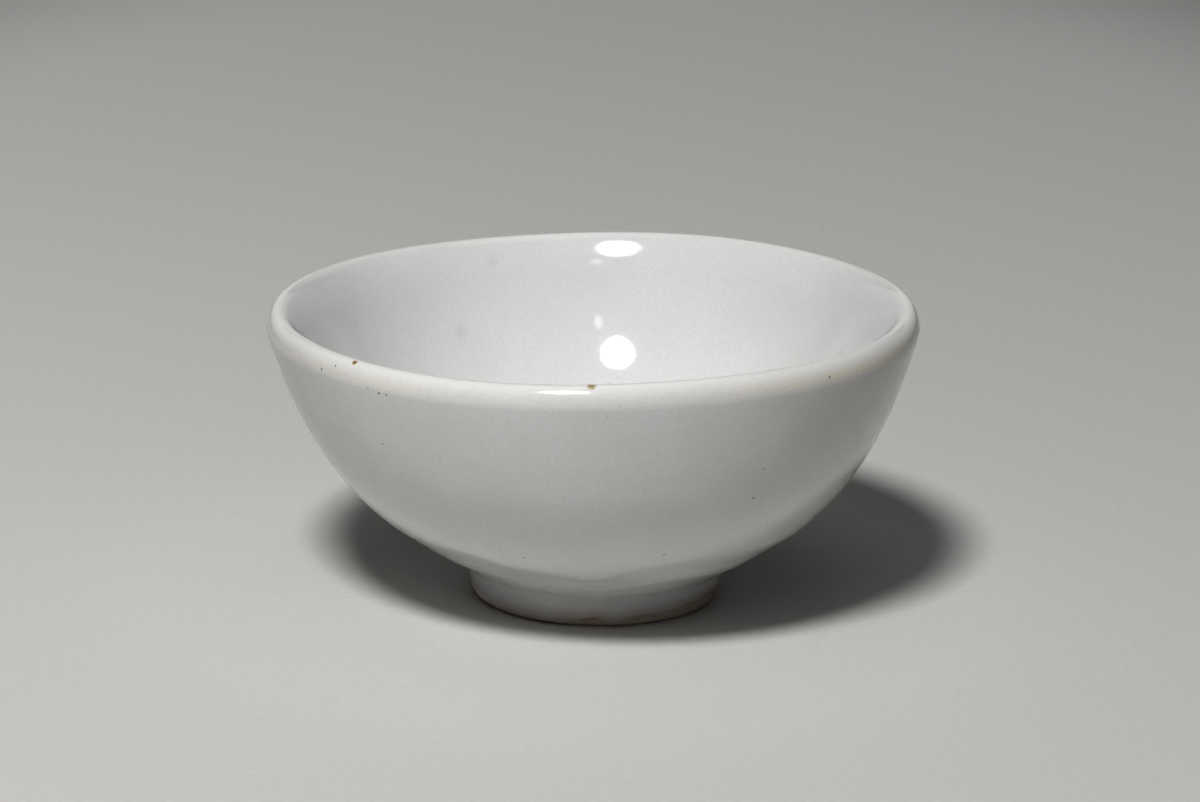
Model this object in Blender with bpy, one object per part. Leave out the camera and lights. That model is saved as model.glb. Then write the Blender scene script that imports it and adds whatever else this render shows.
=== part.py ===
"""White porcelain sake cup: a thrown bowl on a foot ring, coated with glaze. Metres, +Z up."""

import math

import bmesh
import bpy
from mathutils import Vector

# Clay bowl, before glazing
LIP_DIAMETER = 0.0751
BOWL_HEIGHT = 0.0345
LIP_OUTER_ROUND = 0.00215
LIP_CREST_ROUND = 0.00045
LIP_INNER_ROUND = 0.00155
LIP_BEVEL_ROUND = 0.0194
WALL_FLARE = math.radians(15.8)
BELLY_TOP_HANDLE = 0.0094
BELLY_LOW_HANDLE = 0.0111
SHOULDER_RISE = math.radians(33)
FLOOR_THICKNESS = 0.0037
FLOOR_HANDLE = 0.0212
BASIN_WALL_HANDLE = 0.0134

# Directions that the lip faces where one rounding meets the next, from outside over the crest to inside
CREST_START = math.radians(45)
CREST_END = math.radians(115)
BEVEL_START = math.radians(143.7)
BEVEL_END = math.radians(156.2)

# Trimmed underside and foot ring
UNDERSIDE_WIDTH = 0.0071
UNDERSIDE_RISE = 0.0041
FOOT_TOP_DIAMETER = 0.0291
FOOT_BASE_DIAMETER = 0.0288
FOOT_HEIGHT = 0.0040
FOOT_FILLET = 0.0024
FOOT_EDGE_ROUND = 0.0006
RING_WIDTH = 0.0036
WELL_DEPTH = 0.0042

# Glaze
GLAZE_THICKNESS = 0.00035
GLAZE_LINE = 0.0010
WELL_GLAZE_LINE = 0.0014
WELL_GLAZE_ROUND = 0.0010

# Gaps between pieces that are fused by the firing
GLAZE_GAP = 0.0001
SEAM_GAP = 0.0003

# Slump of the soft wall: how far the lip shifts to -X over the foot, and how far it rises at +X
LIP_SHIFT = 0.0008
LIP_RISE = 0.0008

SEGMENTS = 48


def unit(angle):
    return Vector((math.cos(angle), math.sin(angle)))


def left_of(direction):
    return Vector((-direction.y, direction.x)).normalized()


def arc(centre, radius, start, end, steps):
    """Stations of an outward-facing arc: each is a point and the direction that its surface faces."""
    angles = [start + (end - start) * i / steps for i in range(steps + 1)]
    return [(centre + unit(angle) * radius, unit(angle)) for angle in angles]


def bend(start, start_handle, end_handle, end, steps):
    """Stations of a cubic curve between two points with handles, facing left of its run."""
    stations = []
    for i in range(steps + 1):
        t = i / steps
        s = 1 - t
        point = start * s**3 + start_handle * 3 * s * s * t + end_handle * 3 * s * t * t + end * t**3
        leaving = (start_handle - start) * s * s
        passing = (end_handle - start_handle) * 2 * s * t
        arriving = (end - end_handle) * t * t
        stations.append((point, left_of(leaving + passing + arriving)))
    return stations


def fillet(before, corner, after, radius, steps):
    """Stations of the arc that rounds a corner, where the run turns left or right."""
    arriving = (corner - before).normalized()
    leaving = (after - corner).normalized()
    turn = math.atan2(arriving.x * leaving.y - arriving.y * leaving.x, arriving.dot(leaving))
    side = math.copysign(1, turn)
    start = corner - arriving * radius * math.tan(abs(turn) / 2)
    centre = start + left_of(arriving) * radius * side
    facing = math.atan2(arriving.x, -arriving.y)
    faces = [unit(facing + turn * i / steps) for i in range(steps + 1)]
    return [(centre - face * radius * side, face) for face in faces]


def next_centre(centre, radius, next_radius, angle):
    """Centre of the arc that carries on from another at an angle, with no corner between them."""
    return centre + unit(angle) * (radius - next_radius)


def joined(*runs):
    """One run of stations from several, each starting where the one before it ends."""
    return runs[0] + [station for run in runs[1:] for station in run[1:]]


def raised(stations, height):
    """Points at a height over the surface."""
    return [point + face * height for point, face in stations]


def on_line(first, second, z):
    return first.lerp(second, (z - first.y) / (second.y - first.y))


# Clay outline, as radius and height: from the middle of the floor, over the lip and down to the foot
lip_radius = LIP_DIAMETER / 2
outer_centre = Vector((
    lip_radius - LIP_OUTER_ROUND,
    BOWL_HEIGHT - LIP_CREST_ROUND - (LIP_OUTER_ROUND - LIP_CREST_ROUND) * math.sin(CREST_START),
))
crest_centre = next_centre(outer_centre, LIP_OUTER_ROUND, LIP_CREST_ROUND, CREST_START)
inner_centre = next_centre(crest_centre, LIP_CREST_ROUND, LIP_INNER_ROUND, CREST_END)
bevel_centre = next_centre(inner_centre, LIP_INNER_ROUND, LIP_BEVEL_ROUND, BEVEL_START)
lip = joined(
    arc(bevel_centre, LIP_BEVEL_ROUND, BEVEL_END, BEVEL_START, 2),
    arc(inner_centre, LIP_INNER_ROUND, BEVEL_START, CREST_END, 2),
    arc(crest_centre, LIP_CREST_ROUND, CREST_END, CREST_START, 3),
    arc(outer_centre, LIP_OUTER_ROUND, CREST_START, -WALL_FLARE, 3),
)

floor_middle = Vector((0, WELL_DEPTH + FLOOR_THICKNESS))
basin_top = lip[0][0]
basin = bend(
    floor_middle,
    floor_middle + Vector((FLOOR_HANDLE, 0)),
    basin_top - unit(BEVEL_END - math.pi / 2) * BASIN_WALL_HANDLE,
    basin_top,
    8,
)

foot_top = Vector((FOOT_TOP_DIAMETER / 2, FOOT_HEIGHT))
foot_base = Vector((FOOT_BASE_DIAMETER / 2, 0))
shoulder = foot_top + Vector((UNDERSIDE_WIDTH, UNDERSIDE_RISE))
wall_top = lip[-1][0]
belly = bend(
    wall_top,
    wall_top + unit(-WALL_FLARE - math.pi / 2) * BELLY_TOP_HANDLE,
    shoulder + unit(SHOULDER_RISE) * BELLY_LOW_HANDLE,
    shoulder,
    8,
)
foot_joint = fillet(shoulder, foot_top, foot_base, FOOT_FILLET, 4)
clay = joined(basin, lip, belly) + foot_joint
seam, foot_face = clay[-1]

bore_radius = FOOT_BASE_DIAMETER / 2 - RING_WIDTH
recess_radius = bore_radius - SEAM_GAP


def bowl_profile():
    underneath = [
        Vector((recess_radius, seam.y)),
        Vector((recess_radius, WELL_DEPTH)),
        Vector((0, WELL_DEPTH)),
    ]
    return raised(clay, 0) + underneath


def foot_ring_profile():
    """The ring below the seam, with the edges of its flat base rounded."""
    outer_top = on_line(foot_base, foot_top, seam.y - SEAM_GAP)
    inner_base = Vector((bore_radius, 0))
    inner_top = Vector((bore_radius, outer_top.y))
    outer_edge = fillet(outer_top, foot_base, inner_base, FOOT_EDGE_ROUND, 3)
    inner_edge = fillet(foot_base, inner_base, inner_top, FOOT_EDGE_ROUND, 3)
    return [outer_top] + raised(outer_edge + inner_edge, 0) + [inner_top]


def glaze_profile():
    """A skin over the clay outline, closed by a rounded bead at the glaze line on the foot."""
    coated = clay + [(on_line(foot_base, foot_top, GLAZE_LINE), foot_face)]
    visible = raised(coated, GLAZE_GAP + GLAZE_THICKNESS)
    hidden = raised(coated, GLAZE_GAP)
    bead = (visible[-1] + hidden[-1]) / 2 - Vector((0, GLAZE_THICKNESS / 2))
    return visible + [bead] + hidden[::-1]


def well_glaze_profile():
    """A shallow dish against the roof and side of the recess inside the foot ring."""
    roof = WELL_DEPTH - GLAZE_GAP
    side = recess_radius - GLAZE_GAP
    inner_edge = Vector((side - GLAZE_THICKNESS, WELL_GLAZE_LINE))
    inner_corner = Vector((inner_edge.x, roof - GLAZE_THICKNESS))
    inner_middle = Vector((0, inner_corner.y))
    pool = fillet(inner_edge, inner_corner, inner_middle, WELL_GLAZE_ROUND, 4)
    outside = [Vector((0, roof)), Vector((side, roof)), Vector((side, WELL_GLAZE_LINE))]
    return outside + [inner_edge] + raised(pool, 0) + [inner_middle]


def slumped(point):
    """Where a point lies once the soft wall has slumped: not at all at the foot, fully at the lip."""
    share = max(0, (point.z - FOOT_HEIGHT) / (outer_centre.y - FOOT_HEIGHT))
    return point + Vector((-LIP_SHIFT, 0, LIP_RISE * point.x / lip_radius)) * share


def finish(name, colour, roughness):
    material = bpy.data.materials.new(name)
    material.use_nodes = True
    shader = material.node_tree.nodes["Principled BSDF"]
    shader.inputs["Base Color"].default_value = (*colour, 1)
    shader.inputs["Roughness"].default_value = roughness
    shader.inputs["Metallic"].default_value = 0
    return material


def turned(name, profile, material, axis, ring=False):
    """A solid of revolution on the cup's axis. A ring's profile closes on itself, clear of the axis."""
    mesh = bpy.data.meshes.new(name)
    bm = bmesh.new()
    points = [bm.verts.new((point.x, 0, point.y)) for point in profile]
    followers = points[1:] + points[:1] if ring else points[1:]
    edges = [bm.edges.new(pair) for pair in zip(points, followers)]
    bmesh.ops.spin(
        bm,
        geom=points + edges,
        cent=(0, 0, 0),
        axis=(0, 0, 1),
        angle=math.tau,
        steps=SEGMENTS,
        use_merge=True,
    )
    bmesh.ops.remove_doubles(bm, verts=bm.verts, dist=1e-6)
    bmesh.ops.recalc_face_normals(bm, faces=bm.faces)
    for vertex in bm.verts:
        vertex.co = slumped(vertex.co)
    bm.to_mesh(mesh)
    bm.free()
    mesh.shade_smooth()
    mesh.set_sharp_from_angle(angle=math.radians(40))
    mesh.materials.append(material)
    piece = bpy.data.objects.new(name, mesh)
    bpy.context.collection.objects.link(piece)
    piece.parent = axis
    return piece


for old in list(bpy.data.objects):
    bpy.data.objects.remove(old, do_unlink=True)

# The origin is under the middle of the lip, so the foot stands off it by the shift
axis = bpy.data.objects.new("foot_axis", None)
bpy.context.collection.objects.link(axis)
axis.location = (LIP_SHIFT, 0, 0)

fired_clay = finish("fired_porcelain", (0.78, 0.76, 0.72), 0.8)
bare_clay = finish("bare_porcelain", (0.56, 0.47, 0.38), 0.75)
white_glaze = finish("white_glaze", (0.72, 0.73, 0.71), 0.12)
pooled_glaze = finish("pooled_glaze", (0.66, 0.69, 0.68), 0.15)

turned("porcelain_bowl", bowl_profile(), fired_clay, axis)
turned("foot_ring", foot_ring_profile(), bare_clay, axis, ring=True)
turned("glaze_coat", glaze_profile(), white_glaze, axis)
turned("foot_well_glaze", well_glaze_profile(), pooled_glaze, axis)
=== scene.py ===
import math

import bmesh
import bpy
from mathutils import Matrix, Vector, noise


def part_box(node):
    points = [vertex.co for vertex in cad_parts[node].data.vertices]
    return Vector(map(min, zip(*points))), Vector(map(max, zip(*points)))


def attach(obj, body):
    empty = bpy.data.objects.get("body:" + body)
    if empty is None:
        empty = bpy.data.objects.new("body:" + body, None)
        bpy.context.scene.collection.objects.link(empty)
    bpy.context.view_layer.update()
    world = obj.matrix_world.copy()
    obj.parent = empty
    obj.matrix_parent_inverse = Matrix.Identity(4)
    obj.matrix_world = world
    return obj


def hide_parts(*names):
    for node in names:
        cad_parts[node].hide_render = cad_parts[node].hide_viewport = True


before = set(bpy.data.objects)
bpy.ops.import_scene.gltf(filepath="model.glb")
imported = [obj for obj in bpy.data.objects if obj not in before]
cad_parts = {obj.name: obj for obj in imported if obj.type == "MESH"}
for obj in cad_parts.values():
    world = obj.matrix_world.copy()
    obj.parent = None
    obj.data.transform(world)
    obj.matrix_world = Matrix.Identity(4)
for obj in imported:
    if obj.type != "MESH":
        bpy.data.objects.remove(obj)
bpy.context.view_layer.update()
print("frame loaded:", ", ".join(sorted(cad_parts)))

mm = 0.001  # pieces are shaped in millimetres about the foot's axis, then scaled to metres
ringLow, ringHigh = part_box("foot_ring")
glazeLow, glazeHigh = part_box("glaze_coat")
footCentre = (ringLow.x + ringHigh.x) / 2 / mm  # the foot stands off the middle of the lip
lipCentre = (glazeLow.x + glazeHigh.x) / 2 / mm


# small helpers for materials

def linear(hexColour):
    channels = [int(hexColour[i:i + 2], 16) / 255 for i in (1, 3, 5)]
    return (*[c / 12.92 if c <= 0.04045 else ((c + 0.055) / 1.055) ** 2.4 for c in channels], 1)


def addNode(tree, kind, inputs=None, **settings):
    node = tree.nodes.new(kind)
    for name, value in settings.items():
        setattr(node, name, value)
    for name, value in (inputs or {}).items():
        if isinstance(value, bpy.types.NodeSocket):
            tree.links.new(value, node.inputs[name])
        else:
            node.inputs[name].default_value = value
    return node


def newMaterial(name):
    material = bpy.data.materials.new(name)
    material.use_nodes = True
    tree = material.node_tree
    return material, tree, tree.nodes["Principled BSDF"]


def perMm(size):
    return 1 / (size * mm)  # texture scale that gives features of this many millimetres


# the clay outline, as radius and height, from the floor's middle over the lip and down to the foot

clay = dict(
    lipRadius=37.55, height=34.5,
    lipOuter=2.15, lipCrest=0.45, lipInner=1.55, lipBevel=19.4,  # roundings over the lip
    crestStart=45, crestEnd=115, bevelStart=143.7, bevelEnd=156.2,  # degrees where they meet
    wallFlare=15.8, bellyTop=9.4, bellyLow=11.1, shoulderRise=33,
    floorHeight=7.9, floorHandle=21.2, basinHandle=13.4,
    footTop=14.55, footBase=14.4, footHeight=4.0, footFillet=2.4,
    undersideWidth=7.1, undersideRise=4.1,
)
# how many steps draw each stretch of it
claySteps = dict(basin=56, bevel=8, inner=7, crest=8, outer=9, belly=56, underside=26, joint=9)


def unit(degrees):
    return Vector((math.cos(math.radians(degrees)), math.sin(math.radians(degrees))))


def arcLine(centre, radius, start, end, steps):
    return [centre + unit(start + (end - start) * i / steps) * radius for i in range(steps + 1)]


def bendLine(start, startHandle, endHandle, end, steps):
    line = []
    for i in range(steps + 1):
        t = i / steps
        s = 1 - t
        line.append(start * s ** 3 + startHandle * 3 * s * s * t + endHandle * 3 * s * t * t + end * t ** 3)
    return line


def roundedCorner(before, corner, after, radius, steps):
    arriving = (corner - before).normalized()
    leaving = (after - corner).normalized()
    turn = math.atan2(arriving.x * leaving.y - arriving.y * leaving.x, arriving.dot(leaving))
    side = math.copysign(1, turn)
    start = corner - arriving * radius * math.tan(abs(turn) / 2)
    centre = start + Vector((-arriving.y, arriving.x)) * radius * side
    first = math.degrees(math.atan2(*(start - centre).yx))
    return arcLine(centre, radius, first, first + math.degrees(turn), steps)


def withFacing(line):
    # each point with the direction that its surface faces, left of the run
    faced = []
    for i, point in enumerate(line):
        run = line[min(i + 1, len(line) - 1)] - line[max(i - 1, 0)]
        faced.append((point, Vector((-run.y, run.x)).normalized()))
    return faced


def raised(faced, height):
    return [point + facing * height for point, facing in faced]


def clayOutline():
    c = clay
    steps = claySteps
    outer = Vector((
        c["lipRadius"] - c["lipOuter"],
        c["height"] - c["lipCrest"] - (c["lipOuter"] - c["lipCrest"]) * unit(c["crestStart"]).y,
    ))
    crest = outer + unit(c["crestStart"]) * (c["lipOuter"] - c["lipCrest"])
    inner = crest + unit(c["crestEnd"]) * (c["lipCrest"] - c["lipInner"])
    bevel = inner + unit(c["bevelStart"]) * (c["lipInner"] - c["lipBevel"])
    bevelArc = arcLine(bevel, c["lipBevel"], c["bevelEnd"], c["bevelStart"], steps["bevel"])
    innerArc = arcLine(inner, c["lipInner"], c["bevelStart"], c["crestEnd"], steps["inner"])
    crestArc = arcLine(crest, c["lipCrest"], c["crestEnd"], c["crestStart"], steps["crest"])
    outerArc = arcLine(outer, c["lipOuter"], c["crestStart"], -c["wallFlare"], steps["outer"])
    floor = Vector((0, c["floorHeight"]))
    basin = bendLine(
        floor,
        floor + Vector((c["floorHandle"], 0)),
        bevelArc[0] - unit(c["bevelEnd"] - 90) * c["basinHandle"],
        bevelArc[0], steps["basin"],
    )
    footTop = Vector((c["footTop"], c["footHeight"]))
    footBase = Vector((c["footBase"], 0))
    shoulder = footTop + Vector((c["undersideWidth"], c["undersideRise"]))
    belly = bendLine(
        outerArc[-1],
        outerArc[-1] + unit(-c["wallFlare"] - 90) * c["bellyTop"],
        shoulder + unit(c["shoulderRise"]) * c["bellyLow"],
        shoulder, steps["belly"],
    )
    joint = roundedCorner(shoulder, footTop, footBase, c["footFillet"], steps["joint"])
    underside = [shoulder.lerp(joint[0], i / steps["underside"]) for i in range(1, steps["underside"])]
    line = basin + bevelArc[1:] + innerArc[1:] + crestArc[1:] + outerArc[1:] + belly[1:]
    return line + underside + joint, outer.y


clayLine, lipHeight = clayOutline()
clayFaced = withFacing(clayLine)


# what the hand and the kiln did to the turned shape, in millimetres

made = dict(
    lipRise=0.8,  # the lip tilts, up at +X
    roundness=0.10, ovalTurn=0.6,  # out of round, and which way, in radians
    lipWaves=((3, 0.09, -1.466), (5, 0.06, 1.745)),  # the lip's rise and fall: count, height and start
    ripple=0.008, rippleSpacing=4.6, rippleFade=6,  # rings left outside by the throwing fingers
    unevenness=0.010, unevenSize=11.0,
    sag=0.12, sagAzimuth=-72, sagWidth=42,  # the front wall settled, in degrees around the cup
    sagFull=20, sagHollow=11.5, sagHeight=4.5,  # fuller at one height, hollow at another
    trimDepth=0.18, trimSoftness=1.35, trimHeight=13, trimRadius=16.5,
    toolMark=0.012, toolSpacing=0.95,  # fine rings that the trimming tool left round the foot
    toolTop=10, toolFade=2, toolRadius=13,
    upright=0.3,  # the sag and the tool's rings lie where the surface faces up no more than this
)
# where the trimming knife started and left the wall: foot-axis radius by azimuth in degrees
trimTop = {
    -165: 25.6, -140: 26.0, -121: 26.0, -114: 24.6, -105: 24.1, -97: 23.2, -91: 22.4, -86: 23.3,
    -80: 25.2, -72: 25.9, -60: 26.2, -30: 25.8, 0: 25.3, 35: 25.9, 75: 25.1, 115: 25.8, 155: 25.2,
}
trimLow = {
    -165: 19.6, -127: 20.2, -114: 18.5, -100: 19.0, -85: 18.2, -67: 20.8, -45: 20.4,
    0: 19.4, 60: 20.1, 120: 19.2,
}


def around(table, azimuth):
    # a smooth closed curve through values given by azimuth
    stops = sorted(table)
    count = len(stops)
    i = max((k for k in range(count) if stops[k] <= azimuth), default=-1)
    a, b, c, d = (table[stops[(i + k) % count]] for k in (-1, 0, 1, 2))
    start = stops[i] if i >= 0 else stops[-1] - 360
    end = stops[(i + 1) % count] + (360 if i == count - 1 else 0)
    t = (azimuth - start) / (end - start)
    return b + 0.5 * t * (c - a + t * (2 * a - 5 * b + 4 * c - d + t * (3 * (b - c) + d - a)))


def trimCut(radius, height, azimuth):
    # how deep the knife went: a flat chord under the round of the wall
    if height > made["trimHeight"] or radius < made["trimRadius"]:
        return 0
    low, top = around(trimLow, azimuth), around(trimTop, azimuth)
    t = (radius - low) / (top - low)
    return made["trimDepth"] * (4 * t * (1 - t)) ** made["trimSoftness"] if 0 < t < 1 else 0


def handMade(co, facing):
    m = made
    radius = math.hypot(co.x, co.y)
    angle = math.atan2(co.y, co.x)
    share = max(0, (co.z - clay["footHeight"]) / (lipHeight - clay["footHeight"]))
    out = Vector((facing.x * math.cos(angle), facing.x * math.sin(angle), facing.y))
    upright = facing.y < m["upright"]

    rings = m["ripple"] if facing.x > 0 else 0
    wall = min(1, share * 4) * max(0, min(1, (lipHeight - co.z) / m["rippleFade"]))  # none at foot or lip
    swell = rings * wall * math.sin(math.tau * co.z / m["rippleSpacing"] + angle)
    swell += m["unevenness"] * min(1, share * 3) * noise.noise(co / m["unevenSize"])
    swell -= trimCut(radius, co.z, math.degrees(angle))
    if facing.x > 0 and upright:
        front = m["sag"] * math.exp(-((math.degrees(angle) - m["sagAzimuth"]) / m["sagWidth"]) ** 2)
        swell += front * math.exp(-((co.z - m["sagFull"]) / m["sagHeight"]) ** 2)
        if radius > m["trimRadius"]:
            swell -= front * math.exp(-((co.z - m["sagHollow"]) / m["sagHeight"]) ** 2)
    if upright and radius > m["toolRadius"]:
        under = max(0, min(1, (m["toolTop"] - co.z) / m["toolFade"]))
        turns = (radius + co.z) / m["toolSpacing"]
        swell += m["toolMark"] * under * math.sin(math.tau * turns + math.sin(angle))

    moved = co + out * swell
    oval = 1 + m["roundness"] * share * math.cos(2 * angle + m["ovalTurn"]) / clay["lipRadius"]
    moved.x *= oval
    moved.y *= oval
    for count, height, begin in m["lipWaves"]:
        moved.z += height * share * share * math.sin(count * angle + begin)
    moved.z += m["lipRise"] * share * co.x / clay["lipRadius"]
    moved.x += footCentre + (lipCentre - footCentre) * share
    return moved


def turned(line, steps, closed=False):
    # spins a profile and remembers on every vertex which point of the profile it came from
    bm = bmesh.new()
    station = bm.verts.layers.int.new("station")
    points = [bm.verts.new((point.x, 0, point.y)) for point in line]
    for i, point in enumerate(points):
        point[station] = i
    followers = points[1:] + points[:1] if closed else points[1:]
    edges = [bm.edges.new(pair) for pair in zip(points, followers)]
    bmesh.ops.spin(
        bm, geom=points + edges, cent=(0, 0, 0), axis=(0, 0, 1),
        angle=math.tau, steps=steps, use_merge=True,
    )
    bmesh.ops.remove_doubles(bm, verts=bm.verts, dist=1e-4)
    bmesh.ops.recalc_face_normals(bm, faces=bm.faces)
    return bm, station


def place(bm, name, material, node):
    bmesh.ops.scale(bm, vec=(mm, mm, mm), verts=bm.verts)
    mesh = bpy.data.meshes.new(name)
    bm.to_mesh(mesh)
    bm.free()
    mesh.shade_smooth()
    mesh.materials.append(material)
    piece = bpy.data.objects.new(name, mesh)
    bpy.context.scene.collection.objects.link(piece)
    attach(piece, "root")
    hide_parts(node)
    print(name, "made with", len(mesh.polygons), "faces")
    return piece


# glaze coat

coat = dict(
    gap=0.1, thickness=0.35, steps=320,
    edge=1.0,  # mean height of the glaze line on the foot
    feather=1.7,  # height over which the glaze thins out at its edge
    edgeShare=0.45,  # of its thickness left there
    edgeTop=3.0, edgeWander=0.12, edgeLumps=9,  # the glaze line wanders below this height, and how
    lipBand=4,  # the lip's tints lie in this height
    lipLean=10, lipSpread=16,  # degrees: where on the lip's outer rounding the glaze ran thin
    crestFrom=15, crestFull=45, crestLess=110, crestTo=130, crestShare=0.5,  # and where the crest's upward-facing rounding gets a lighter tint, as painted light
    # crest is a lighter tint painted on the lip's upward-facing crest: painted light
    white="#e8e8e9", crest="#f4f2ef", shade="#dfdfdd", grain="#d8d8d6", cream="#e6e3d6", ochre="#c3ae91",
    clay="#c2b4a4", ash="#a8a49a", pinhole="#57503f", smudge="#b0b0ac", stain="#ae9a6e",
    iron="#ab8a5a", ironHeart="#7d4a1c",
    peelSize=2.4, peelDepth=0.004, pitDepth=6.0,  # a pinhole is this many times as deep as the peel
    roughness=0.05, ior=1.5, ashSpacing=2.2, raggedness=0.2, raggedSize=0.5,
)
# height of the glaze line by azimuth in degrees: bare patches at the front right
glazeLine = {
    -175: 0.9, -150: 0.6, -130: 0.5, -110: 0.45, -101: 0.55, -95: 1.1, -89: 1.15, -84: 0.6, -79: 0.55,
    -74: 1.05, -66: 1.25, -55: 1.4, -40: 1.7, -22: 1.9, 0: 1.5, 20: 0.9, 50: 1.1, 80: 0.6, 110: 0.9,
    140: 0.7,
}
# how much of the cream clay shows through at the lip, by azimuth
lipTint = {
    -170: 0.30, -150: 0.45, -139: 0.60, -128: 0.50, -116: 0.30, -100: 0.15, -80: 0.15, -66: 0.40,
    -50: 0.85, -38: 1.0, -22: 0.80, 0: 0.40, 30: 0.50, 60: 0.25, 95: 0.20, 125: 0.30, 155: 0.45,
}
# single marks in the glaze: azimuth, height and width in millimetres
pinholes = (
    (-143.0, 32.98, 0.27), (-139.4, 33.89, 0.22), (-131.0, 32.37, 0.18), (-128.5, 32.10, 0.24),
    (-126.9, 32.04, 0.21), (-131.2, 25.47, 0.24), (-107.0, 11.56, 0.22), (-73.1, 12.46, 0.22),
    (-56.9, 19.75, 0.24), (-56.6, 23.49, 0.18), (-45.8, 33.50, 0.26), (38.0, 21.0, 0.25),
    (121.0, 27.5, 0.24),
)
smudgesInside = ((122.5, 24.6, 1.3), (111.7, 32.4, 0.9), (-173.6, 32.65, 0.5), (20.0, 26.0, 0.9))
ironSpots = ((-135.4, 34.80, 0.46), (64.0, 34.4, 0.40))
ochreStains = ((-89.85, 34.91, 0.72), (152.0, 34.8, 0.60))

footSide = [Vector((clay["footBase"], z)) for z in (2.2, 1.9, 1.6, 1.4, 1.2, 1.1, coat["edge"])]
glazeFaced = withFacing(clayLine + footSide)
glazeFaced[0] = (glazeFaced[0][0], Vector((0, 1)))


def glazeThickness(point):
    if point.x > clay["footTop"] + 1 or point.y > clay["footHeight"]:
        return coat["thickness"]
    t = max(0, min(1, (point.y - coat["edge"]) / coat["feather"]))
    return coat["thickness"] * (coat["edgeShare"] + (1 - coat["edgeShare"]) * t * (2 - t))


glazeTop = [point + facing * (coat["gap"] + glazeThickness(point)) for point, facing in glazeFaced]


def onGlaze(azimuth, height, inside=False):
    # the point of the glaze at this azimuth and height, on the inner or the outer side of the lip
    crest = max(range(len(glazeTop)), key=lambda i: glazeTop[i].y)
    side = range(crest) if inside else range(crest, len(glazeTop))
    i = min(side, key=lambda k: abs(glazeTop[k].y - height))
    flat = unit(azimuth) * glazeTop[i].x
    return handMade(Vector((flat.x, flat.y, glazeTop[i].y)), glazeFaced[i][1]) * mm


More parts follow.
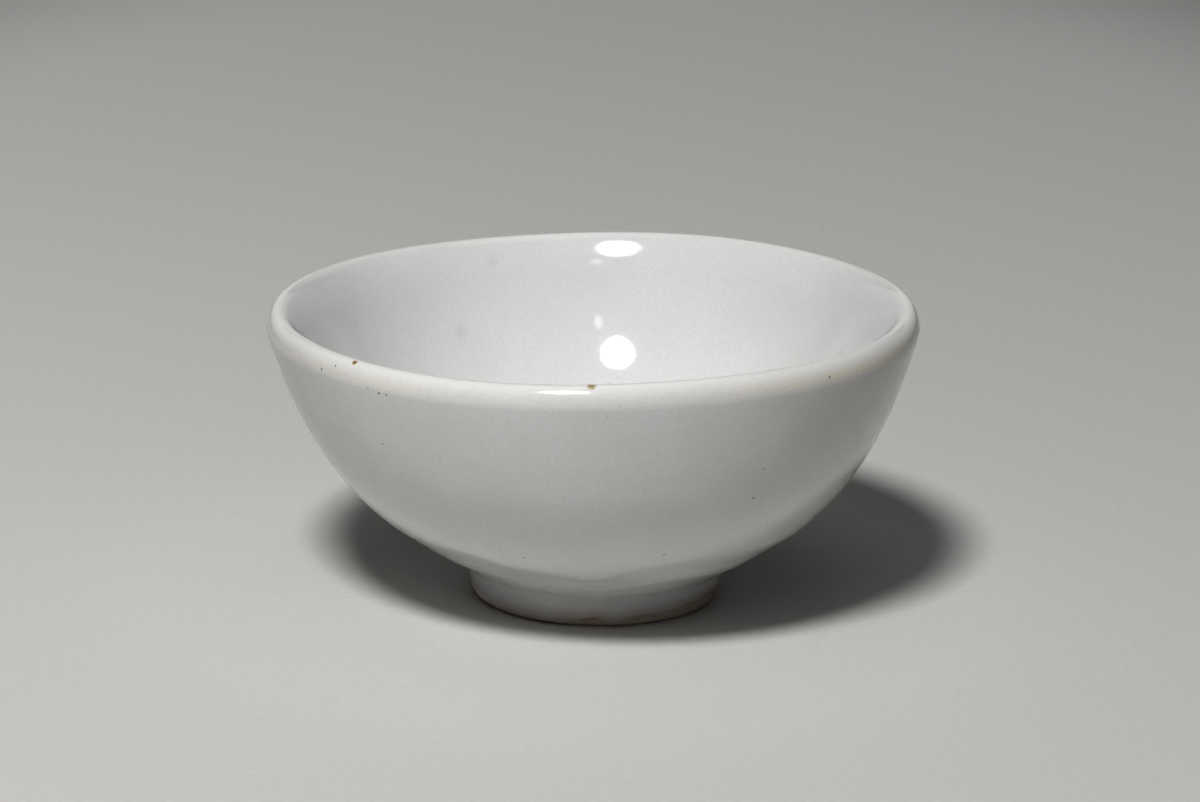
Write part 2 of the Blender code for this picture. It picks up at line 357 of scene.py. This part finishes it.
def glazeMaterial():
    # clear glaze on white porcelain, dipped and fired: sharp highlights over a soft neutral white, painted
    # lighter on the lip's upward-facing crest as painted light, cream below it, brown where it ends on the
    # foot, with pinholes, ash and iron
    material, tree, shader = newMaterial("glazed_porcelain")
    coords = addNode(tree, "ShaderNodeTexCoord").outputs["Object"]
    field = {}  # every pattern and mask by name
    for name, size, detail in (  # noises, with the size of their features in millimetres
        ("mottle", 7, 2), ("cloud", 2.6, 4), ("blot", 0.35, 3), ("peel", coat["peelSize"], 1),
    ):
        field[name] = addNode(tree, "ShaderNodeTexNoise", {
            "Vector": coords, "Scale": perMm(size), "Detail": detail,
        }).outputs["Fac"]
    for name in ("paintedCrestLight", "lipThin", "edgeThin"):
        field[name] = addNode(tree, "ShaderNodeAttribute", attribute_name=name).outputs["Fac"]

    # marks have ragged outlines, so they are measured from coordinates that noise has shaken
    shake = addNode(tree, "ShaderNodeTexNoise", {
        "Vector": coords, "Scale": perMm(coat["raggedSize"]), "Detail": 1,
    })
    reach = Vector((1, 1, 1)) * coat["raggedness"] * mm
    shaken = addNode(tree, "ShaderNodeVectorMath", {
        0: shake.outputs["Color"], 1: reach, 2: coords,
    }, operation="MULTIPLY_ADD").outputs[0]
    for name, marks, inside in (
        ("hole", pinholes, False), ("spot", ironSpots, False), ("stain", ochreStains, False),
        ("smear", smudgesInside, True),
    ):
        for azimuth, height, width in marks:  # distance to the nearest mark, in units of its width
            centre = onGlaze(azimuth, height, inside)
            away = addNode(tree, "ShaderNodeVectorMath", {
                0: shaken, 1: centre + reach / 2,
            }, operation="DISTANCE").outputs["Value"]
            near = addNode(tree, "ShaderNodeMath", {0: away, 1: width * mm}, operation="DIVIDE").outputs[0]
            if name in field:
                near = addNode(tree, "ShaderNodeMath", {
                    0: field[name], 1: near,
                }, operation="MINIMUM").outputs[0]
            field[name] = near
    cells = addNode(tree, "ShaderNodeTexVoronoi", {"Vector": shaken, "Scale": perMm(coat["ashSpacing"])})
    field["cell"] = cells.outputs["Distance"]
    field["chance"] = cells.outputs["Color"]

    for name, source, start, end, most in (  # masks: where they start, where they are full, how strong
        ("creamy", "cloud", 0.10, 0.55, 1), ("spotted", "blot", 0.60, 0.72, 0.55),
        ("grainy", "blot", 0.35, 0.70, 0.5), ("patchy", "cloud", 0.10, 0.55, 0.85),
        ("dot", "cell", 0.075, 0.045, 1), ("faint", "chance", 0.5, 1.0, 0.5),
        ("pit", "hole", 0.75, 0.35, 0.75), ("grey", "smear", 1.0, 0.0, 0.22),
        ("ochred", "stain", 0.85, 0.40, 0.9), ("rust", "spot", 0.85, 0.45, 0.9),
        ("heart", "spot", 0.5, 0.15, 0.9), ("sheen", "cloud", 0.30, 0.70, 0.04),
    ):
        field[name] = addNode(tree, "ShaderNodeMapRange", {
            0: field[source], 1: start, 2: end, 4: most,
        }).outputs[0]
    for name, first, second in (
        ("lipCream", "lipThin", "creamy"), ("lipOchre", "lipCream", "spotted"),
        ("edgeClay", "edgeThin", "patchy"), ("ashDot", "dot", "faint"),
    ):
        field[name] = addNode(tree, "ShaderNodeMath", {
            0: field[first], 1: field[second],
        }, operation="MULTIPLY").outputs[0]

    colour = linear(coat["white"])
    # the crest's lighter tint is painted light on the lip's upward-facing rounding
    for share, tint in (
        ("mottle", "shade"), ("grainy", "grain"), ("paintedCrestLight", "crest"), ("lipCream", "cream"),
        ("lipOchre", "ochre"), ("edgeClay", "clay"), ("ashDot", "ash"), ("grey", "smudge"),
        ("pit", "pinhole"), ("ochred", "stain"), ("rust", "iron"), ("heart", "ironHeart"),
    ):
        colour = addNode(tree, "ShaderNodeMix", {
            0: field[share], 6: colour, 7: linear(coat[tint]),
        }, data_type="RGBA").outputs[2]
    tree.links.new(colour, shader.inputs["Base Color"])

    roughness = addNode(tree, "ShaderNodeMath", {
        0: field["sheen"], 1: coat["roughness"],
    }, operation="ADD").outputs[0]
    for share, amount in (("lipThin", 0.10), ("edgeThin", 0.45)):  # thin glaze shines less
        roughness = addNode(tree, "ShaderNodeMath", {
            0: field[share], 1: amount, 2: roughness,
        }, operation="MULTIPLY_ADD").outputs[0]
    tree.links.new(roughness, shader.inputs["Roughness"])

    # the skin of the melted glaze is faintly uneven, like peel, and a pinhole dips into it
    skin = addNode(tree, "ShaderNodeMath", {
        0: field["pit"], 1: -coat["pitDepth"], 2: field["peel"],
    }, operation="MULTIPLY_ADD").outputs[0]
    bump = addNode(tree, "ShaderNodeBump", {
        "Height": skin, "Distance": coat["peelDepth"] * mm, "Strength": 1.0,
    })
    tree.links.new(bump.outputs["Normal"], shader.inputs["Normal"])
    shader.inputs["IOR"].default_value = coat["ior"]
    return material


def makeGlaze():
    hiddenFaced = glazeFaced[::3] + [glazeFaced[-1]] * (len(glazeFaced) % 3 != 1)
    hidden = raised(hiddenFaced, coat["gap"])
    rim = (glazeTop[-1] + hidden[-1]) / 2
    half = (glazeTop[-1] - hidden[-1]).length / 2
    bead = [rim + unit(angle) * half for angle in (-30, -60, -90, -120, -150)]
    line = glazeTop + bead + hidden[::-1]
    faced = glazeFaced + [glazeFaced[-1]] * len(bead) + hiddenFaced[::-1]
    facings = [facing for _, facing in faced]
    bm, station = turned(line, coat["steps"])
    paintedCrestLight, lipThin, edgeThin = [
        bm.verts.layers.float.new(name) for name in ("paintedCrestLight", "lipThin", "edgeThin")
    ]
    top = coat["edgeTop"]
    for vert in bm.verts:
        facing = facings[vert[station]]
        co = vert.co.copy()
        azimuth = math.degrees(math.atan2(co.y, co.x))
        if co.z > lipHeight - coat["lipBand"]:
            lean = math.degrees(math.atan2(facing.y, facing.x))
            off = (lean - coat["lipLean"]) / coat["lipSpread"]
            vert[lipThin] = around(lipTint, azimuth) * math.exp(-off ** 2)
            # painted light: the crest is tinted lighter where the lip's rounding faces upward
            rising = (lean - coat["crestFrom"]) / (coat["crestFull"] - coat["crestFrom"])
            falling = (coat["crestTo"] - lean) / (coat["crestTo"] - coat["crestLess"])
            vert[paintedCrestLight] = coat["crestShare"] * max(0, min(1, rising, falling))
        if co.z < top and math.hypot(co.x, co.y) < clay["footTop"] + 2:
            wander = coat["edgeWander"] * noise.noise(co.normalized() * coat["edgeLumps"])
            edge = around(glazeLine, azimuth) + wander
            vert[edgeThin] = max(0, 1 - (co.z - coat["edge"]) / coat["feather"]) ** 2
            co.z = top - (top - co.z) * (top - edge) / (top - coat["edge"])
        vert.co = handMade(co, facing)
    bm.verts.layers.int.remove(station)
    return place(bm, "glaze_skin", glazeMaterial(), "glaze_coat")


makeGlaze()


# thrown bowl under the glaze

bowl = dict(
    steps=192, recess=10.5, roof=4.2,
    body="#ddd9d1", grain="#d3cec4", line="#d8d3ca",
    grainSize=0.7, grainDepth=0.03, roughness=0.8,
    lineStep=1.6,  # a radian of the turning lines, which come every 10 mm
)


def bodyMaterial():
    # porcelain body, thrown and fired: matt and off white, with a fine grain and faint turning lines
    material, tree, shader = newMaterial("fired_porcelain_body")
    coords = addNode(tree, "ShaderNodeTexCoord").outputs["Object"]
    grain = addNode(tree, "ShaderNodeTexNoise", {
        "Vector": coords, "Scale": perMm(bowl["grainSize"]), "Detail": 4,
    })
    pitch = perMm(bowl["lineStep"]) / 20  # a wave texture runs 20 radians to the unit
    lines = addNode(tree, "ShaderNodeTexWave", {
        "Vector": coords, "Scale": pitch, "Distortion": 1.5, "Detail": 2,
    }, bands_direction="Z")
    colour = linear(bowl["body"])
    for share, tint in ((grain.outputs["Fac"], "grain"), (lines.outputs["Fac"], "line")):
        colour = addNode(tree, "ShaderNodeMix", {
            0: share, 6: colour, 7: linear(bowl[tint]),
        }, data_type="RGBA").outputs[2]
    tree.links.new(colour, shader.inputs["Base Color"])
    bump = addNode(tree, "ShaderNodeBump", {
        "Height": grain.outputs["Fac"], "Distance": bowl["grainDepth"] * mm, "Strength": 0.6,
    })
    tree.links.new(bump.outputs["Normal"], shader.inputs["Normal"])
    shader.inputs["Roughness"].default_value = bowl["roughness"]
    return material


def makeBowl():
    thinned = clayFaced[::2]
    if thinned[-1] != clayFaced[-1]:
        thinned.append(clayFaced[-1])
    line = [point for point, _ in thinned]
    recess, roof = bowl["recess"], bowl["roof"]
    under = [Vector((recess, line[-1].y)), Vector((recess, roof)), Vector((0, roof))]
    facings = [facing for _, facing in thinned] + [Vector((0, -1))] * len(under)
    bm, station = turned(line + under, bowl["steps"])
    for vert in bm.verts:
        vert.co = handMade(vert.co, facings[vert[station]])
    bm.verts.layers.int.remove(station)
    return place(bm, "thrown_bowl", bodyMaterial(), "porcelain_bowl")


makeBowl()


# foot ring

foot = dict(
    outerTop=14.49, base=14.4, bore=10.8, top=2.36, edgeRound=0.6, steps=256,
    wear=0.03, wearSize=1.3, wearTop=0.5,  # the side is worn in a little, unevenly
    toastTop=0.8,  # and toasted in full from this height up
    clay="#e4d8cb", grit="#dbcfc1", browned="#ab9884", speck="#a39282",
    cloudSize=2.2, gritSize=0.35, gritDepth=0.08, speckSpacing=0.9,
)
# how far the fire toasted the clay, by azimuth
footToast = {
    -170: 0.35, -130: 0.25, -100: 0.35, -90: 0.50, -80: 0.25, -68: 0.15, -55: 0.10, -40: 0.15, -22: 0.30,
    0: 0.5, 40: 0.35, 80: 0.5, 120: 0.3,
}


def footMaterial():
    # bare porcelain clay, cut with a wire and wiped: matt and gritty, pale, toasted brown towards the glaze
    material, tree, shader = newMaterial("bare_toasted_porcelain")
    coords = addNode(tree, "ShaderNodeTexCoord").outputs["Object"]
    cloud, grit = [
        addNode(tree, "ShaderNodeTexNoise", {
            "Vector": coords, "Scale": perMm(foot[size]), "Detail": 4,
        }).outputs["Fac"]
        for size in ("cloudSize", "gritSize")
    ]
    toast = addNode(tree, "ShaderNodeAttribute", attribute_name="toast").outputs["Fac"]
    uneven = addNode(tree, "ShaderNodeMath", {
        0: cloud, 1: 0.8, 2: -0.4,
    }, operation="MULTIPLY_ADD").outputs[0]
    browned = addNode(tree, "ShaderNodeMath", {
        0: toast, 1: uneven,
    }, operation="ADD", use_clamp=True).outputs[0]
    cells = addNode(tree, "ShaderNodeTexVoronoi", {"Vector": coords, "Scale": perMm(foot["speckSpacing"])})
    speck = addNode(tree, "ShaderNodeMapRange", {
        0: cells.outputs["Distance"], 1: 0.22, 2: 0.12, 4: 0.7,
    }).outputs[0]
    colour = linear(foot["clay"])
    for share, tint in ((grit, "grit"), (browned, "browned"), (speck, "speck")):
        colour = addNode(tree, "ShaderNodeMix", {
            0: share, 6: colour, 7: linear(foot[tint]),
        }, data_type="RGBA").outputs[2]
    tree.links.new(colour, shader.inputs["Base Color"])
    roughness = addNode(tree, "ShaderNodeMapRange", {0: cloud, 1: 0.3, 2: 0.7, 3: 0.7, 4: 0.88}).outputs[0]
    tree.links.new(roughness, shader.inputs["Roughness"])
    bump = addNode(tree, "ShaderNodeBump", {
        "Height": grit, "Distance": foot["gritDepth"] * mm, "Strength": 0.8,
    })
    tree.links.new(bump.outputs["Normal"], shader.inputs["Normal"])
    return material


def makeFoot():
    f = foot
    outerTop, outerBase = Vector((f["outerTop"], f["top"])), Vector((f["base"], 0))
    innerBase, innerTop = Vector((f["bore"], 0)), Vector((f["bore"], f["top"]))
    outside = [outerTop.lerp(outerBase, t) for t in (0, 0.12, 0.24, 0.36, 0.48, 0.6)]
    line = outside + roundedCorner(outerTop, outerBase, innerBase, f["edgeRound"], 8)
    line += [outerBase.lerp(innerBase, t) for t in (0.3, 0.4, 0.5, 0.6, 0.7)]
    line += roundedCorner(outerBase, innerBase, innerTop, f["edgeRound"], 8)
    line += [innerBase.lerp(innerTop, t) for t in (0.5, 0.75, 1)]
    bm, station = turned(line, f["steps"], closed=True)
    toast = bm.verts.layers.float.new("toast")
    for vert in bm.verts:
        co = vert.co.copy()
        azimuth = math.degrees(math.atan2(co.y, co.x))
        vert[toast] = around(footToast, azimuth) * min(1, co.z / f["toastTop"])
        worn = f["wear"] * (1 + noise.noise(co / f["wearSize"])) * max(0, min(1, co.z / f["wearTop"]))
        outwards = Vector((co.x, co.y, 0)).normalized()
        co -= outwards * (worn if co.xy.length > (f["base"] + f["bore"]) / 2 else -worn)
        co.x += footCentre
        vert.co = co
    bm.verts.layers.int.remove(station)
    return place(bm, "bare_foot_ring", footMaterial(), "foot_ring")


makeFoot()


# glaze pooled inside the foot ring

well = dict(
    gap=0.1, thickness=0.35, edge=1.4, pool=1.0, poolReach=2.2, steps=160,
    glaze="#cccdcd", mottle="#c5c7c7", pooled="#b3bcbd", speck="#8e8b83",
    mottleSize=6, peelSize=2.4, peelDepth=0.006, speckSpacing=1.8,
)


def wellMaterial():
    # the same glaze, thicker in the corner of the well, so a shade bluer, with trapped bubbles and ash
    material, tree, shader = newMaterial("pooled_glaze")
    coords = addNode(tree, "ShaderNodeTexCoord").outputs["Object"]
    mottle, peel = [
        addNode(tree, "ShaderNodeTexNoise", {
            "Vector": coords, "Scale": perMm(well[size]), "Detail": 3,
        }).outputs["Fac"]
        for size in ("mottleSize", "peelSize")
    ]
    cells = addNode(tree, "ShaderNodeTexVoronoi", {"Vector": coords, "Scale": perMm(well["speckSpacing"])})
    speck = addNode(tree, "ShaderNodeMapRange", {
        0: cells.outputs["Distance"], 1: 0.12, 2: 0.06, 4: 0.6,
    }).outputs[0]
    pooled = addNode(tree, "ShaderNodeAttribute", attribute_name="pooled").outputs["Fac"]
    colour = linear(well["glaze"])
    for share, tint in ((mottle, "mottle"), (pooled, "pooled"), (speck, "speck")):
        colour = addNode(tree, "ShaderNodeMix", {
            0: share, 6: colour, 7: linear(well[tint]),
        }, data_type="RGBA").outputs[2]
    tree.links.new(colour, shader.inputs["Base Color"])
    roughness = addNode(tree, "ShaderNodeMapRange", {
        0: mottle, 1: 0.3, 2: 0.7, 3: 0.06, 4: 0.14,
    }).outputs[0]
    tree.links.new(roughness, shader.inputs["Roughness"])
    bump = addNode(tree, "ShaderNodeBump", {
        "Height": peel, "Distance": well["peelDepth"] * mm, "Strength": 1.0,
    })
    tree.links.new(bump.outputs["Normal"], shader.inputs["Normal"])
    return material


def makeWell():
    roof = bowl["roof"] - well["gap"]
    side = bowl["recess"] - well["gap"]
    innerEdge = Vector((side - well["thickness"], well["edge"]))
    corner = Vector((innerEdge.x, roof - well["thickness"]))
    middle = Vector((0, corner.y))
    pool = roundedCorner(innerEdge, corner, middle, well["pool"], 8)
    flat = [pool[-1].lerp(middle, i / 12) for i in range(1, 13)]
    line = [Vector((0, roof)), Vector((side, roof)), Vector((side, well["edge"])), innerEdge] + pool + flat
    bm, station = turned(line, well["steps"])
    pooled = bm.verts.layers.float.new("pooled")
    for vert in bm.verts:
        vert[pooled] = max(0, 1 - abs(vert.co.xy.length - innerEdge.x) / well["poolReach"]) ** 2
        vert.co.x += footCentre
    bm.verts.layers.int.remove(station)
    return place(bm, "well_glaze_pool", wellMaterial(), "foot_well_glaze")


makeWell()


# floor, light and camera

stage = dict(
    flat=650, bend=250, rise=80, steps=96,  # millimetres: a round sheet of paper, turned up at its edge
    drop=0.02,  # it lies a hair below the foot, so that their faces don't mix
    paper="#dddcda", fibre="#d3d2d0", fibreSize=0.9, fibreDepth=0.02,  # coarser than real fibres, to show
    paperRoughness=0.9, paperShine=0.2,
    room="#4a4948", roomStart=0.02, roomEnd=0.12,  # metres above the floor: painted shade, where the paper turns up it darkens like a dim room
    paleCentre=(0, 0.13, 0), paleStretch=(2, 1, 0),  # metres: and painted shade darkens it away from the cup, a painted falloff of light
    paleReach=0.25, paleEnd=0.5, paleLoss=0.75,
    glowStart=0.5, glowEnd=0.8, glow=0.55, glowTint="#fffefc",  # metres behind the cup: painted light, the paper glows there though it is no lamp
    keyAim=(-0.1765, -0.5666, 0.8049), keyTurn=-0.8, keyDistance=1.3, keyWidth=0.255, keyPower=19.6,
    spotAim=(-0.047, -0.714, 0.698), spotDistance=1.3, spotWidth=0.08, spotPower=0.07,
    topAim=(0.08, 0.05, 0.995), topDistance=1.3, topWidth=1.0, topPower=1.5,
    fill=0.03, fillTint="#fffdfa", contrast=0.77,
)


def floorMaterial():
    # matt paper with a faint fibre; painted shade darkens it where it turns up, as a room would be, and
    # away from the cup; behind the cup it glows as painted light
    material, tree, shader = newMaterial("pale_paper")
    coords = addNode(tree, "ShaderNodeTexCoord").outputs["Object"]
    fibre = addNode(tree, "ShaderNodeTexNoise", {
        "Vector": coords, "Scale": perMm(stage["fibreSize"]), "Detail": 4,
    }).outputs["Fac"]
    position = addNode(tree, "ShaderNodeSeparateXYZ", {0: coords}).outputs
    # painted shade: the paper turns dark where it rises, standing in for a dim room
    dark = addNode(tree, "ShaderNodeMapRange", {
        0: position["Z"], 1: stage["roomStart"], 2: stage["roomEnd"],
    }).outputs[0]
    # painted shade: the paper darkens away from the cup, a painted falloff of the light
    ground = addNode(tree, "ShaderNodeVectorMath", {
        0: coords, 1: stage["paleStretch"],
    }, operation="MULTIPLY").outputs[0]
    away = addNode(tree, "ShaderNodeVectorMath", {
        0: ground, 1: stage["paleCentre"],
    }, operation="DISTANCE").outputs["Value"]
    paintedFalloff = addNode(tree, "ShaderNodeMapRange", {
        0: away, 1: stage["paleReach"], 2: stage["paleEnd"], 4: stage["paleLoss"],
    }, interpolation_type="SMOOTHSTEP").outputs[0]
    colour = linear(stage["paper"])
    for share, tint in ((fibre, "fibre"), (paintedFalloff, "room"), (dark, "room")):
        colour = addNode(tree, "ShaderNodeMix", {
            0: share, 6: colour, 7: linear(stage[tint]),
        }, data_type="RGBA").outputs[2]
    tree.links.new(colour, shader.inputs["Base Color"])
    # painted light: behind the cup the paper glows, though it is no lamp
    glow = addNode(tree, "ShaderNodeMapRange", {
        0: position["Y"], 1: stage["glowStart"], 2: stage["glowEnd"], 4: stage["glow"],
    }).outputs[0]
    tree.links.new(glow, shader.inputs["Emission Strength"])
    shader.inputs["Emission Color"].default_value = linear(stage["glowTint"])
    bump = addNode(tree, "ShaderNodeBump", {
        "Height": fibre, "Distance": stage["fibreDepth"] * mm, "Strength": 0.4,
    })
    tree.links.new(bump.outputs["Normal"], shader.inputs["Normal"])
    shader.inputs["Roughness"].default_value = stage["paperRoughness"]
    shader.inputs["Specular IOR Level"].default_value = stage["paperShine"]
    return material


def makeFloor():
    corner = Vector((stage["flat"], stage["bend"] - stage["drop"]))
    line = [Vector((0, -stage["drop"]))] + arcLine(corner, stage["bend"], -90, 0, 24)
    line.append(line[-1] + Vector((0, stage["rise"])))
    bm, station = turned(line, stage["steps"])
    bm.verts.layers.int.remove(station)
    bmesh.ops.scale(bm, vec=(mm, mm, mm), verts=bm.verts)
    mesh = bpy.data.meshes.new("paper_floor")
    bm.to_mesh(mesh)
    bm.free()
    mesh.shade_smooth()
    mesh.materials.append(floorMaterial())
    floor = bpy.data.objects.new("paper_floor", mesh)
    bpy.context.scene.collection.objects.link(floor)


def addLamp(name, aim, distance, width, power, turn=0):
    data = bpy.data.lights.new(name, "AREA")
    data.shape = "ELLIPSE"
    towards = Vector(aim).normalized()
    facing = (towards - Vector((turn, 0, 0))).normalized()  # turned aside, its light fades across the floor
    across = towards - facing * towards.dot(facing) if turn else facing.orthogonal()
    across.normalize()
    data.size = width / towards.dot(facing)  # longer that way, so that it still looks round from the cup
    data.size_y = width
    data.energy = power
    lamp = bpy.data.objects.new(name, data)
    lamp.location = towards * distance
    lamp.rotation_euler = Matrix((across, facing.cross(across), facing)).transposed().to_euler()
    bpy.context.scene.collection.objects.link(lamp)


def lightScene():
    s = stage
    addLamp("key_light", s["keyAim"], s["keyDistance"], s["keyWidth"], s["keyPower"], s["keyTurn"])
    addLamp("small_light", s["spotAim"], s["spotDistance"], s["spotWidth"], s["spotPower"])
    addLamp("top_light", s["topAim"], s["topDistance"], s["topWidth"], s["topPower"])
    world = bpy.data.worlds.new("studio")
    world.use_nodes = True
    background = world.node_tree.nodes["Background"]
    background.inputs["Color"].default_value = linear(s["fillTint"])
    background.inputs["Strength"].default_value = s["fill"]
    scene = bpy.context.scene
    scene.world = world
    scene.view_settings.view_transform = "Standard"
    scene.view_settings.gamma = s["contrast"]  # a camera's own contrast


view = dict(lens=143.09, aim=(0.000998, 0, 0.023191), distance=0.56, elevation=15.271, roll=1.256)


def placeCamera():
    data = bpy.data.cameras.new("photo_camera")
    data.lens = view["lens"]
    data.clip_start = 0.01
    camera = bpy.data.objects.new("photo_camera", data)
    tilt = math.radians(view["elevation"])
    back = Vector((0, -math.cos(tilt), math.sin(tilt)))
    stand = Matrix.Translation(Vector(view["aim"]) + back * view["distance"])
    turn = Matrix.Rotation(math.pi / 2 - tilt, 4, "X") @ Matrix.Rotation(math.radians(view["roll"]), 4, "Z")
    camera.matrix_world = stand @ turn
    bpy.context.scene.collection.objects.link(camera)
    bpy.context.scene.camera = camera


makeFloor()
lightScene()
placeCamera()
print("floor, light and camera set")
